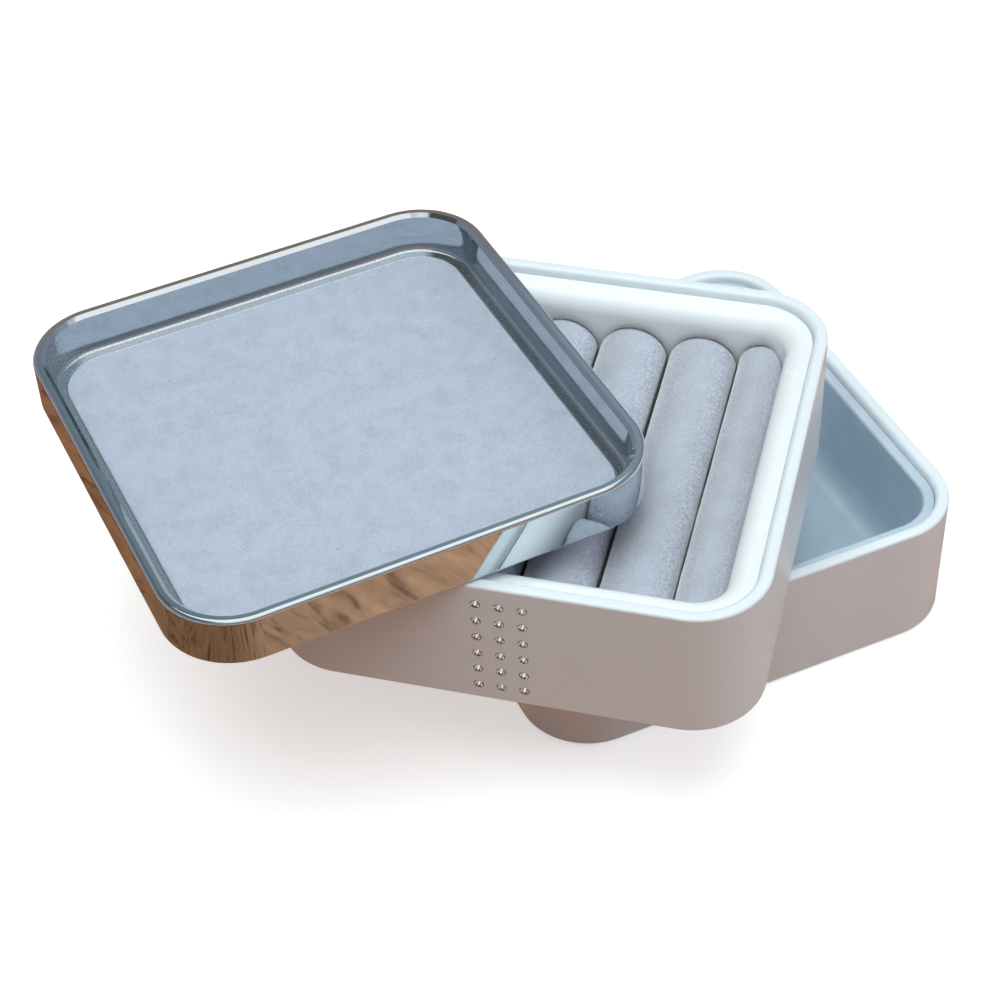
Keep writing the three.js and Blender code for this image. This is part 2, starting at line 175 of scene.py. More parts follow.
class JewelryBoxColours(PropertyGroup):
    shell: colour("Shell", "Glossy white moulded plastic", (0.795, 0.86, 0.89))
    liner: colour("Ring liner", "Glossy white plastic of the ring compartment", (0.91, 0.945, 0.965))
    basin: colour("Bottom liner", "Satin blue-grey plastic of the deep compartment", (0.60, 0.72, 0.81))
    plating: colour("Plating", "Mirror plating of the tray", (0.58, 0.64, 0.68))
    velvet: colour("Roll velvet", "Blue-grey velvet of the ring rolls", (0.485, 0.515, 0.595))
    pad: colour("Pad velvet", "Blue-grey velvet of the tray's pad", (0.485, 0.53, 0.63))
    stone: colour("Crystal", "Clear crystal", (0.95, 0.97, 1.0))
    foil: colour("Foil", "Mirror foil behind a crystal", (0.66, 0.61, 0.60))
    # A dark pocket wall, partly painted shade that deepens the ring round each crystal.
    setting: colour("Setting", "Wall of a crystal's pocket", (0.14, 0.13, 0.13))
    steel: colour("Steel", "Turned steel of the shaft and screw", (0.56, 0.57, 0.58))
    nylon: colour("Nylon", "Friction washers", (0.78, 0.76, 0.70))
    card: colour("Card", "Grey board under the pads", (0.36, 0.35, 0.33))
    foam: colour("Base pad", "Anti-slip sheet under the box", (0.05, 0.052, 0.055))
    floor: colour("Floor", "Plain pale floor", (0.86, 0.86, 0.86))
    bounce: colour("Bounce", "Light that the floor throws back on the sides", (0.40, 0.20, 0.133))
    # Dust on the tray's low ledge; the same colour also paints a dark reflection near the tray's left side.
    dust: colour("Dust", "Dust that gathers low in the tray", (0.20, 0.26, 0.29))
    card_warm: colour("Warm card", "Board that the tray's sides mirror", (0.60, 0.34, 0.20))
    card_haze: colour("Haze card", "Foot of the screen in the tray's back rim", (0.31, 0.25, 0.20))
    card_dusk: colour("Dusk card", "Foot of the screen in the tray's walls", (0.27, 0.29, 0.36))
    card_cool: colour("Cool card", "Screen that the tray's rim mirrors", (0.24, 0.31, 0.34))


# Modelling helpers.


def sizes():
    return bpy.context.scene.jewelry_box_sizes


def colours():
    return bpy.context.scene.jewelry_box_colours


def leave_edit():
    bpy.ops.object.mode_set(mode="OBJECT")


def deselect():
    """Leaves edit mode with nothing selected."""
    if bpy.context.object and bpy.context.object.mode != "OBJECT":
        leave_edit()
    bpy.ops.object.select_all(action="DESELECT")


def activate(piece):
    deselect()
    piece.select_set(True)
    bpy.context.view_layer.objects.active = piece


def apply_place(piece):
    activate(piece)
    bpy.ops.object.transform_apply(location=True, rotation=True, scale=True)


def take_up(name):
    """Names the primitive that was just added and applies its place."""
    piece = bpy.context.object
    piece.name = name
    apply_place(piece)
    return piece


def edit_all(piece):
    """Enters edit mode with the whole piece selected."""
    activate(piece)
    bpy.ops.object.mode_set(mode="EDIT")
    bpy.ops.mesh.select_all(action="SELECT")


def apply_modifier(piece, name, kind, **settings):
    """Adds a modifier with its settings and applies it."""
    change = piece.modifiers.new(name, kind)
    for key, value in settings.items():
        setattr(change, key, value)
    bpy.ops.object.modifier_apply(modifier=change.name)


def add_box(name, low, high):
    """A box between two corners."""
    deselect()
    low, high = Vector(low), Vector(high)
    bpy.ops.mesh.primitive_cube_add(size=1, location=(low + high) / 2, scale=high - low)
    return take_up(name)


def add_post(name, radius, low, high, sides=64):
    """A round bar on the shaft's axis."""
    deselect()
    bpy.ops.mesh.primitive_cylinder_add(
        vertices=sides, radius=radius, depth=high - low, location=(AXIS.x, AXIS.y, (low + high) / 2)
    )
    return take_up(name)


def choose(piece, kind, wanted):
    """Enters edit mode with just the edges or faces selected that pass the test."""
    activate(piece)
    bpy.ops.object.mode_set(mode="EDIT")
    bpy.ops.mesh.select_all(action="DESELECT")
    bpy.ops.mesh.select_mode(type=kind)
    mesh = bmesh.from_edit_mesh(piece.data)
    chosen = [part for part in (mesh.edges if kind == "EDGE" else mesh.faces) if wanted(part)]
    for part in chosen:
        part.select_set(True)
    bmesh.update_edit_mesh(piece.data)
    if not chosen:
        raise RuntimeError(f"{piece.name}: no {kind.lower()} lies where one should be selected")


def choose_edges(piece, wanted):
    """Selects the edges whose two ends pass the test."""
    choose(piece, "EDGE", lambda edge: wanted(edge.verts[0].co, edge.verts[1].co))


def choose_faces(piece, wanted):
    """Selects the faces whose centre and normal pass the test."""
    choose(piece, "FACE", lambda face: wanted(face.calc_center_median(), face.normal))


def extrude(*move):
    bpy.ops.mesh.extrude_region_move(TRANSFORM_OT_translate={"value": move})


def bevel(offset, segments):
    bpy.ops.mesh.bevel(offset=offset, segments=segments, affect="EDGES", clamp_overlap=False)
    leave_edit()


def inset_at(point):
    """How far a point lies inside the tiers' rounded outline."""
    corner = sizes().corner
    reach = HALF_SIDE - corner
    dx, dy = abs(point.x) - reach, abs(point.y) - reach
    if dx > 0 and dy > 0:
        return corner - math.hypot(dx, dy)
    return HALF_SIDE - max(abs(point.x), abs(point.y))


def round_loop(piece, inset, height, radius, segments):
    """Rounds the closed loop of edges at an inset and a height."""
    def wanted(a, b):
        return all(abs(p.z - height) < SAME_LOOP and abs(inset_at(p) - inset) < SAME_LOOP for p in (a, b))
    choose_edges(piece, wanted)
    bevel(radius, segments)


def add_slab(name, inset, low, high):
    """A slab with the tiers' rounded outline, moved in by inset."""
    reach = HALF_SIDE - inset
    piece = add_box(name, (-reach, -reach, low), (reach, reach, high))
    choose_edges(piece, lambda a, b: abs(a.z - b.z) > (high - low) / 2)
    bevel(sizes().corner - inset, sizes().corner_steps)
    return piece


def sink_top(piece, top, inset, floor, draft=0.0):
    """Insets the flat top of a slab and presses the inner part down to a floor, narrower by a draft."""
    def top_face(centre, normal):
        return normal.z > 0.99 and abs(centre.z - top) < SAME_LEVEL and centre.xy.length < CENTRAL
    choose_faces(piece, top_face)
    bpy.ops.mesh.inset(thickness=inset, depth=0)
    if draft:
        bpy.ops.mesh.inset(thickness=draft, depth=floor - top)
    else:
        extrude(0, 0, floor - top)
    leave_edit()


def add_frame(name, inset, width, low, high):
    """A wall with the tiers' rounded outline, open from top to bottom."""
    piece = add_slab(name, inset, low, high)
    sink_top(piece, high, width, low)
    choose_faces(piece, lambda c, n: abs(c.z - low) < SAME_LEVEL and abs(c.x) < CENTRAL)
    bpy.ops.mesh.delete(type="FACE")
    leave_edit()
    choose_edges(piece, lambda a, b: max(a.z, b.z) < low + SAME_LEVEL)
    bpy.ops.mesh.bridge_edge_loops()
    leave_edit()
    return piece


def combine(piece, tool, operation):
    """Joins a tool body to a piece, or cuts it out, and takes the tool away."""
    activate(piece)
    apply_modifier(piece, operation.lower(), "BOOLEAN", operation=operation, solver="EXACT", object=tool)
    bpy.data.objects.remove(tool, do_unlink=True)
    if len(piece.data.polygons) < 6:
        raise RuntimeError(f"{piece.name}: the {operation.lower()} left nothing")


def join(piece, tool):
    combine(piece, tool, "UNION")


def cut(piece, tool):
    combine(piece, tool, "DIFFERENCE")


def corner_block(name, radius, reach_inset, low, high):
    """The corner round the shaft, with its outer corner following the tier's outline."""
    edge = HALF_SIDE - reach_inset
    piece = add_box(name, (-edge, AXIS.y - radius, low), (AXIS.x + radius, edge, high))
    corners = [(Vector((AXIS.x + radius, AXIS.y - radius)), radius)]
    if reach_inset > 0:
        corners.append((Vector((-edge, edge)), sizes().corner - reach_inset))
    for corner, rounding in corners:
        choose_edges(piece, lambda a, b: abs(a.z - b.z) > UPRIGHT and (a.xy - corner).length < SAME_CORNER)
        bevel(rounding, BLOCK_STEPS)
    return piece


def wedge(name, radius, start, end, low, high):
    """A slice of under half a turn of a round bar on the shaft's axis."""
    piece = add_post(name, radius, low, high, sides=SWEEP_SIDES)
    for bearing, side in ((start, 1), (end, -1)):
        edit_all(piece)
        normal = Vector((-math.sin(bearing), math.cos(bearing), 0)) * side
        bpy.ops.mesh.bisect(plane_co=AXIS, plane_no=normal, use_fill=True, clear_inner=True)
        leave_edit()
    return piece


def add_hub(piece, low, top):
    """Joins the hub and its stop lug under an upper tier."""
    s = sizes()
    join(piece, add_post("hub", s.hub, low, top))
    half = s.lug_angle / 2
    join(piece, wedge("lug", s.lug, LUG_BEARING - half, LUG_BEARING + half, low, top))


def cut_socket(piece, top):
    """Cuts the socket in which the hub above turns, wider where its lug sweeps."""
    s = sizes()
    low = top - s.socket
    cut(piece, add_post("socket", s.hub + s.fit, low, top + s.recess))
    spare = s.lug_angle / 2 + LUG_SPARE
    sweep = add_post("sweep", s.lug + s.fit * 2, low, top + s.recess, sides=SWEEP_SIDES)
    keep_from, keep_to = LUG_BEARING + spare, LUG_BEARING + math.pi - spare
    keep = wedge("keep", s.block * 2, keep_from, keep_to, low - s.recess, top + s.recess * 2)
    cut(sweep, keep)
    cut(piece, sweep)


def tier_turn(body):
    """The turn about the shaft that brings a body's tier from shut to its place at rest."""
    swing = {"bottom_tier": 0.0}
    swing["middle_tier"] = math.radians(JOINTS["middle_swivel"]["range_deg"][0])
    swing["lid"] = swing["middle_tier"] + math.radians(JOINTS["lid_swivel"]["range_deg"][0])
    there = Matrix.Translation((AXIS.x, AXIS.y, 0))
    return there @ Matrix.Rotation(swing[body], 4, "Z") @ there.inverted()


def dress(piece, *finishes):
    piece.data.materials.clear()
    for key in finishes:
        piece.data.materials.append(material(key))


def finish_piece(piece, body, slot, node, *finishes, smooth=35, weighted=True):
    """Shades a piece, turns it to its tier's place and hands it to its body."""
    edit_all(piece)
    bpy.ops.mesh.remove_doubles(threshold=0.000001)
    bpy.ops.mesh.normals_make_consistent(inside=False)
    leave_edit()
    piece.matrix_world = tier_turn(body)
    apply_place(piece)
    if smooth:
        bpy.ops.object.shade_smooth_by_angle(angle=math.radians(smooth))
    else:
        bpy.ops.object.shade_flat()
    if smooth and weighted:
        apply_modifier(piece, "even shading", "WEIGHTED_NORMAL", keep_sharp=True)
    dress(piece, *finishes)
    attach(piece, body)
    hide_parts(node)


# Materials.


EAST, NORTH, UP = (1, 0, 0), (0, 1, 0), (0, 0, 1)


class Nodes:
    """Builds the node tree of a material or of the world."""

    def __init__(self, owner):
        owner.use_nodes = True
        self.tree = owner.node_tree

    def add(self, kind, **settings):
        node = self.tree.nodes.new(kind)
        for key, value in settings.items():
            setattr(node, key, value)
        return node

    def link(self, source, target):
        self.tree.links.new(source, target)

    def fill(self, node, **values):
        """Sets a node's inputs by name, or links those whose value is another node's output."""
        for key, value in values.items():
            socket = node.inputs[key.replace("_", " ")]
            if isinstance(value, bpy.types.NodeSocket):
                self.link(value, socket)
            else:
                socket.default_value = (*value, 1.0) if hasattr(value, "__len__") else value

    def put(self, kind, *sources, **values):
        """Adds a node, links its first inputs in order, fills others and gives its first output."""
        node = self.add(kind)
        for source, socket in zip(sources, node.inputs):
            self.link(source, socket)
        self.fill(node, **values)
        return node.outputs[0]

    def seen(self):
        """1 for camera, glossy and transmission rays, 0 for the rays that light the object."""
        path = self.add("ShaderNodeLightPath").outputs
        seen = path["Is Camera Ray"]
        for ray in ("Is Glossy Ray", "Is Transmission Ray"):
            larger = self.add("ShaderNodeMath", operation="MAXIMUM")
            self.link(seen, larger.inputs[0])
            self.link(path[ray], larger.inputs[1])
            seen = larger.outputs[0]
        return seen


class Finish(Nodes):
    """Builds one material on a Principled shader, with patterns on Object coordinates."""

    def __init__(self, name):
        self.material = bpy.data.materials.new(name)
        super().__init__(self.material)
        self.shader = self.tree.nodes["Principled BSDF"]
        self.place = self.add("ShaderNodeTexCoord").outputs["Object"]

    def surface(self, **values):
        """Sets or links the shader's own inputs."""
        self.fill(self.shader, **values)

    def replace_shader(self, output):
        """Puts another shader in the place of the Principled one."""
        self.tree.nodes.remove(self.shader)
        self.link(output, self.tree.nodes["Material Output"].inputs["Surface"])

    def noise(self, cell, detail=3.0, rough=0.5, stretch=(1, 1, 1), distortion=0.0, turn=0.0):
        """Noise whose cells are about this wide, in metres, times the stretch."""
        mapping = self.add("ShaderNodeMapping", vector_type="TEXTURE")
        mapping.inputs["Scale"].default_value = stretch
        mapping.inputs["Rotation"].default_value = (0, 0, turn)
        self.link(self.place, mapping.inputs["Vector"])
        grain = {"Detail": detail, "Roughness": rough, "Distortion": distortion}
        return self.put("ShaderNodeTexNoise", mapping.outputs["Vector"], Scale=1 / cell, **grain)

    def ramp(self, source, stops):
        """Runs a value through stops of (position, colour or grey)."""
        node = self.add("ShaderNodeValToRGB")
        elements = node.color_ramp.elements
        while len(elements) < len(stops):
            elements.new(0.5)
        for element, (position, value) in zip(elements, stops):
            element.position = position
            element.color = (*value, 1.0) if hasattr(value, "__len__") else (value, value, value, 1.0)
        self.link(source, node.inputs["Fac"])
        return node.outputs["Color"]

    def along(self, direction, low, high):
        """How far along a direction a point lies, as 0 to 1 between two distances."""
        dot = self.add("ShaderNodeVectorMath", operation="DOT_PRODUCT")
        dot.inputs[1].default_value = direction
        self.link(self.place, dot.inputs[0])
        return self.put("ShaderNodeMapRange", dot.outputs["Value"], From_Min=low, From_Max=high)

    def blend(self, how, amount, under, over):
        """Lays one colour or grey over another, by a number or by another output."""
        node = self.add("ShaderNodeMix", data_type="RGBA", blend_type=how)
        self.fill(node, Factor=amount, A=under, B=over)
        return node.outputs["Result"]

    def times(self, first, second):
        return self.blend("MULTIPLY", 1.0, first, second)

    def mottle(self, pattern, tint, darker, lighter):
        """Colours the surface from a darker to a lighter shade of a tint, along a pattern."""
        stops = [(0.3, shade(tint, darker)), (0.7, shade(tint, lighter))]
        self.surface(Base_Color=self.ramp(pattern, stops))

    def bump(self, height, distance, strength, below=None):
        """Raises the surface by a pattern, over an earlier bump if there is one."""
        node = self.add("ShaderNodeBump")
        self.fill(node, Distance=distance, Strength=strength, Height=height)
        if below is not None:
            self.link(below, node.inputs["Normal"])
        self.surface(Normal=node.outputs["Normal"])
        return node.outputs["Normal"]


def shade(value, factor):
    return tuple(min(1.0, channel * factor) for channel in value)


def moulded_plastic(n, tint, roughness):
    """Moulded plastic with a faint unevenness of gloss and surface."""
    n.mottle(n.noise(0.012, detail=4), tint, 0.985, 1.01)
    gloss = n.ramp(n.noise(0.009, detail=2), [(0.3, roughness * 0.94), (0.75, roughness * 1.06)])
    n.surface(Roughness=gloss)
    n.bump(n.noise(0.010, detail=1), 0.00002, 0.3)


def satin_basin(n, tint):
    """Satin blue-grey plastic with a metallic pigment and a fine grain."""
    n.mottle(n.noise(0.009, detail=4), tint, 0.95, 1.05)
    grain = n.noise(0.00035, detail=2)
    n.surface(Roughness=n.ramp(grain, [(0.3, 0.36), (0.7, 0.47)]), Metallic=0.35)
    n.bump(grain, 0.00001, 0.6)


def mirror_plating(n, tint, dusty):
    """Mirror plating with a slight waviness and fine pits. Inside the tray, dust lies low on the ledge
    towards the left, and a painted dark reflection darkens the wall near the tray's left side over its full
    height.
    """
    patch = n.noise(0.014)
    base = n.ramp(patch, [(0.35, shade(tint, 0.97)), (0.7, shade(tint, 1.02))])
    specks = n.noise(0.00045, detail=4, rough=0.75)
    polish = n.ramp(patch, [(0.3, 0.03), (0.8, 0.06)])
    rough = n.blend("ADD", 0.14, polish, n.ramp(specks, [(0.60, 0.0), (0.74, 1.0)]))
    metal = 1.0
    if dusty:
        ledge = TRAY_LOW.z + sizes().hub_length + sizes().ledge_height
        low = n.ramp(n.along(UP, ledge, ledge + 0.004), [(0.0, 1.0), (0.25, 0.35), (1.0, 0.0)])
        left = n.ramp(n.along(EAST, TRAY_LOW.x, TRAY_LOW.x + 0.03), [(0.22, 1.0), (0.5, 0.22)])
        # Painted reflection: dark specks over the full height of the wall near the tray's left side, standing
        # in for a mirrored dark surround rather than dust.
        corner = n.ramp(n.along(EAST, TRAY_LOW.x, TRAY_LOW.x + 0.012), [(0.35, 0.9), (0.80, 0.0)])
        spread = n.blend("ADD", 1.0, n.times(low, left), corner)
        dust = n.times(n.ramp(specks, [(0.47, 0.0), (0.54, 1.0)]), spread)
        base = n.blend("MIX", dust, base, colours().dust)
        rough = n.blend("ADD", 0.6, rough, dust)
        metal = n.ramp(dust, [(0.0, 1.0), (1.0, 0.25)])
    n.surface(Base_Color=base, Roughness=rough, Metallic=metal)
    waves = n.bump(n.noise(0.008, detail=2), 0.00004, 0.5)
    pits = n.ramp(n.noise(0.0006, detail=2), [(0.22, 0.0), (0.30, 1.0)])
    n.bump(pits, 0.00004, 0.35, below=waves)


def velvet_cloth(n, light, cell, roughness, sheen, rolled):
    """Short velvet: brushed patches, a fine nap, stray dark and bright fibres and a sheen."""
    patches = n.noise(cell, detail=5, rough=0.6, distortion=0.5)
    tufts = n.noise(0.00045, detail=4, rough=0.7)
    brushed = n.ramp(patches, [(0.30, shade(light, 0.888)), (0.56, light), (0.85, shade(light, 1.048))])
    nap = n.ramp(tufts, [(0.32, 0.86), (0.66, 1.05)])
    stray = n.noise(0.0010, rough=0.8, stretch=(1.6, 1, 1), turn=0.6)
    dark_fibres = n.ramp(stray, [(0.28, 0.45), (0.33, 1.0)])
    base = n.times(n.times(brushed, nap), dark_fibres)
    stray = n.noise(0.0008, rough=0.8, stretch=(1.6, 1, 1))
    base = n.blend("ADD", 0.18, base, n.ramp(stray, [(0.67, 0.0), (0.72, 1.0)]))
    n.surface(Roughness=roughness, Specular_IOR_Level=0.12, Sheen_Weight=sheen, Sheen_Roughness=0.5)
    # On a roll, painted shade darkens the cloth and dims its sheen between rolls and at their far ends.
    if rolled:
        base, painted_gap_shade = roll_shading(n, base)
        n.surface(Sheen_Weight=painted_gap_shade)
    n.surface(Base_Color=base)
    low = n.bump(patches, 0.00010, 0.4)
    n.bump(tufts, 0.00008, 0.9, below=low)


def roll_shading(n, base):
    """Ruffled nap on the flanks of a roll, and painted shade that darkens the cloth deep between two rolls
    and at their far ends; the shade is also handed back to dim the sheen there.
    """
    flank = n.ramp(n.along(UP, ROLL_TOP - 0.0034, ROLL_TOP - 0.0002), [(0.0, 1.0), (0.75, 0.4), (1.0, 0.12)])
    ruffled = n.ramp(n.noise(0.0006, rough=0.8), [(0.38, 0.62), (0.5, 1.0), (0.62, 1.4)])
    base = n.blend("MULTIPLY", flank, base, ruffled)
    # Painted shade: the cloth darkens towards the bottom of the valley between two rolls.
    painted_valley_shade = n.ramp(n.along(UP, ROLL_TOP - 0.0066, ROLL_TOP - 0.0056), [(0.0, 0.18), (1.0, 1.0)])
    lengthwise = tier_turn("middle_tier").to_3x3() @ Vector(NORTH)
    far = max(lengthwise.dot(v.co) for v in frame["nodes"]["ring_roll_6"].data.vertices)
    # Painted shade: a dark band at the roll's far end, where it meets the liner's wall.
    end = n.ramp(n.along(lengthwise, far - 0.0015, far - 0.0008), [(0.0, 1.0), (1.0, 0.10)])
    painted_gap_shade = n.times(painted_valley_shade, end)
    return n.times(base, painted_gap_shade), painted_gap_shade


def clear_crystal(n, tint):
    n.surface(Base_Color=tint, Roughness=0.0, IOR=1.6, Transmission_Weight=1.0)


def mirror_foil(n, tint):
    n.surface(Base_Color=tint, Roughness=0.08, Metallic=1.0)


def dull_setting(n, tint):
    """Dark, dull metal on the wall of a crystal's pocket, partly painted shade that deepens the dark ring
    round each crystal; it is duller where glue has spread.
    """
    glue = n.noise(0.0006, detail=2)
    n.surface(Base_Color=tint, Roughness=n.ramp(glue, [(0.35, 0.35), (0.7, 0.6)]), Metallic=0.8)


def turned_steel(n, tint):
    lines = n.noise(0.0004, detail=2, stretch=(20, 20, 1))
    n.mottle(lines, tint, 0.9, 1.0)
    n.surface(Roughness=n.ramp(lines, [(0.3, 0.25), (0.7, 0.38)]), Metallic=1.0)


def fibre_board(n, tint):
    fibre = n.noise(0.0008, detail=5, rough=0.7)
    n.mottle(fibre, tint, 0.8, 1.15)
    n.bump(fibre, 0.00005, 0.6)
    n.surface(Roughness=0.9)


def anti_slip(n, tint):
    cells = n.noise(0.0005, rough=0.6)
    n.mottle(cells, tint, 0.8, 1.3)
    n.bump(cells, 0.00008, 0.8)
    n.surface(Roughness=0.85)


# Each material's name, its colour, its maker and what the maker is told: a plastic's roughness,
# whether plating gets dust and a painted dark reflection, and a velvet's patches in metres, roughness, sheen
# and whether it is rolled.
MATERIALS = {
    "shell": ("white_shell", "shell", moulded_plastic, 0.30),
    "liner": ("white_liner", "liner", moulded_plastic, 0.26),
    "nylon": ("nylon", "nylon", moulded_plastic, 0.55),
    "basin": ("satin_basin", "basin", satin_basin),
    "plating": ("mirror_plating", "plating", mirror_plating, False),
    "dusty": ("dusty_plating", "plating", mirror_plating, True),
    "velvet": ("roll_velvet", "velvet", velvet_cloth, 0.007, 0.6, 1.0, True),
    "pad": ("pad_velvet", "pad", velvet_cloth, 0.005, 0.9, 0.3, False),
    "stone": ("clear_crystal", "stone", clear_crystal),
    "foil": ("mirror_foil", "foil", mirror_foil),
    "setting": ("dull_setting", "setting", dull_setting),
    "steel": ("turned_steel", "steel", turned_steel),
    "card": ("fibre_board", "card", fibre_board),
    "foam": ("anti_slip", "foam", anti_slip),
}
MADE = {}


def material(key):
    """Each material is made once and shared."""
    if key not in MADE:
        name, tint, maker, *values = MATERIALS[key]
        n = Finish(name)
        maker(n, getattr(colours(), tint), *values)
        MADE[key] = n.material
    return MADE[key]


# Pieces, one operator each.


def lower_shell(name, low, high):
    """The open shell of a lower tier, with rounded edges and the shaft's corner block."""
    s = sizes()
    piece = add_slab(name, 0, low, high)
    sink_top(piece, high, s.wall, low + s.shell_floor)
    round_loop(piece, 0, low, s.foot, 4)
    round_loop(piece, 0, high, s.rim_outer, 6)
    round_loop(piece, s.wall, high, s.rim_inner, 5)
    join(piece, corner_block("block", s.block, s.wall / 2, low + s.shell_floor / 2, high))
    return piece


def add_sleeve(piece, reach_inset, foot, low, high):
    """Joins a liner's sleeve round the corner block and clears the block's own space."""
    s = sizes()
    join(piece, corner_block("sleeve", s.block + s.fit + s.sleeve_wall, reach_inset, foot, high))
    cut(piece, corner_block("space", s.block + s.fit, 0, low - s.fit, high + s.fit))


class JEWELRYBOX_OT_bottom_shell(Operator):
    """Models the white shell of the bottom tier"""

    bl_idname = "jewelrybox.bottom_shell"
    bl_label = "Bottom Shell"

    def execute(self, context):
        s = sizes()
        low, high = SHELL_LOW.z, SHELL_HIGH.z
        piece = lower_shell("bottom_tier_shell", low, high)
        cut_socket(piece, high)
        cut(piece, add_post("bore", s.bore, low, high))
        cut(piece, add_post("head", s.head_bore, low - s.recess, low + s.head_depth))
        cut(piece, add_slab("recess", s.recess_inset, low - s.recess, low + s.recess))
        finish_piece(piece, "bottom_tier", "white_shell", "bottom_shell", "shell")
        return {"FINISHED"}


class JEWELRYBOX_OT_bottom_liner(Operator):
    """Models the coved liner of the deep compartment"""

    bl_idname = "jewelrybox.bottom_liner"
    bl_label = "Bottom Liner"

    def execute(self, context):
        s = sizes()
        low, high = LINER_LOW.z, LINER_HIGH.z
        inset = s.wall + s.liner_fit
        face = s.wall + s.fit + s.liner_wall
        floor = low + s.liner_floor
        piece = add_slab("deep_compartment_liner", inset, low, high)
        sink_top(piece, high, face - inset, floor)
        round_loop(piece, face, floor, s.liner_cove, 12)
        round_loop(piece, face, high, s.liner_round, 5)
        round_loop(piece, inset, high, s.liner_edge, 3)
        add_sleeve(piece, inset + s.liner_wall / 2, low + s.liner_floor / 2, low, high)
        finish_piece(piece, "bottom_tier", "grey_liner", "bottom_liner", "basin")
        return {"FINISHED"}


class JEWELRYBOX_OT_base_pad(Operator):
    """Models the anti-slip pad under the bottom tier"""

    bl_idname = "jewelrybox.base_pad"
    bl_label = "Base Pad"

    def execute(self, context):
        s = sizes()
        low, high = BASE_PAD_LOW.z, BASE_PAD_HIGH.z
        inset = HALF_SIDE - BASE_PAD_HIGH.x
        piece = add_slab("anti_slip_pad", inset, low, high)
        round_loop(piece, inset, low, s.recess / 4, 2)
        finish_piece(piece, "bottom_tier", "base_pad", "base_pad", "foam")
        return {"FINISHED"}


def stone_places():
    """The crystals' centres on the middle tier's front, when the box is shut, read from their nodes."""
    back = tier_turn("middle_tier").inverted()
    places = []
    for name in sorted(node for node in frame["nodes"] if node.startswith("crystal_")):
        low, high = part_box(name)
        places.append((name, back @ ((low + high) / 2)))
    return places


class JEWELRYBOX_OT_middle_shell(Operator):
    """Models the white shell of the ring tier with its crystal pockets"""

    bl_idname = "jewelrybox.middle_shell"
    bl_label = "Middle Shell"

    def execute(self, context):
        s = sizes()
        low, high = MIDDLE_LOW.z + s.hub_length, MIDDLE_HIGH.z
        piece = lower_shell("ring_tier_shell", low, high)
        add_hub(piece, MIDDLE_LOW.z, low + s.shell_floor)
        cut_socket(piece, high)
        cut(piece, add_post("bore", s.bore, MIDDLE_LOW.z - s.fit, high))
        cut(piece, self.pockets())
        finish_piece(piece, "middle_tier", "white_shell", "middle_shell", "shell", "setting")
        self.line_pockets(piece)
        return {"FINISHED"}

    def pockets(self):
        """One tool body that holds a cone for each crystal's pocket, its base out in front."""
        s = sizes()
        depth = s.stone_pavilion + s.stone_fit
        pockets = []
        for name, place in stone_places():
            deselect()
            bpy.ops.mesh.primitive_cone_add(
                vertices=24,
                radius1=s.stone + s.stone_fit,
                radius2=0,
                depth=depth,
                location=(place.x, depth / 2 - HALF_SIDE, place.z),
                rotation=(-math.pi / 2, 0, 0),
            )
            pocket = take_up("pocket")
            choose_faces(pocket, lambda c, n: n.y < -0.9)
            extrude(0, -s.stone, 0)
            leave_edit()
            pockets.append(pocket)
        deselect()
        for pocket in pockets:
            pocket.select_set(True)
        bpy.context.view_layer.objects.active = pockets[0]
        bpy.ops.object.join()
        return pockets[0]

    def line_pockets(self, piece):
        """Gives the insides of the pockets the dark, dull metal that the crystals are set in, partly painted
        shade that deepens the ring round each crystal.
        """
        s = sizes()
        back = tier_turn("middle_tier").inverted()
        places = [place for name, place in stone_places()]
        for face in piece.data.polygons:
            centre = back @ face.center
            deep = centre.y + HALF_SIDE
            near = min(math.hypot(centre.x - p.x, centre.z - p.z) for p in places)
            in_depth = POCKET_LIP < deep < s.stone_pavilion * POCKET_REACH
            face.material_index = 1 if in_depth and near < s.stone * POCKET_REACH else 0


class JEWELRYBOX_OT_middle_liner(Operator):
    """Models the flanged liner of the ring compartment"""

    bl_idname = "jewelrybox.middle_liner"
    bl_label = "Middle Liner"

    def execute(self, context):
        s = sizes()
        low, high = MIDDLE_LINER_LOW.z, MIDDLE_LINER_HIGH.z
        inset = s.wall + s.liner_fit
        face = s.wall + s.fit + s.flange
        piece = add_frame("ring_compartment_liner", inset, face - inset, low, high)
        round_loop(piece, face, high, s.flange_round, 12)
        round_loop(piece, inset, high, s.liner_edge, 3)
        back = face - s.middle_wall
        step = high - s.flange_thickness
        under = add_frame("under", 0, back, low - s.fit, step)
        round_loop(under, back, step, s.flange_round - s.flange_thickness, 6)
        cut(piece, under)
        add_sleeve(piece, inset + s.liner_edge, low, low, high)
        finish_piece(piece, "middle_tier", "white_liner", "middle_liner", "liner")
        return {"FINISHED"}


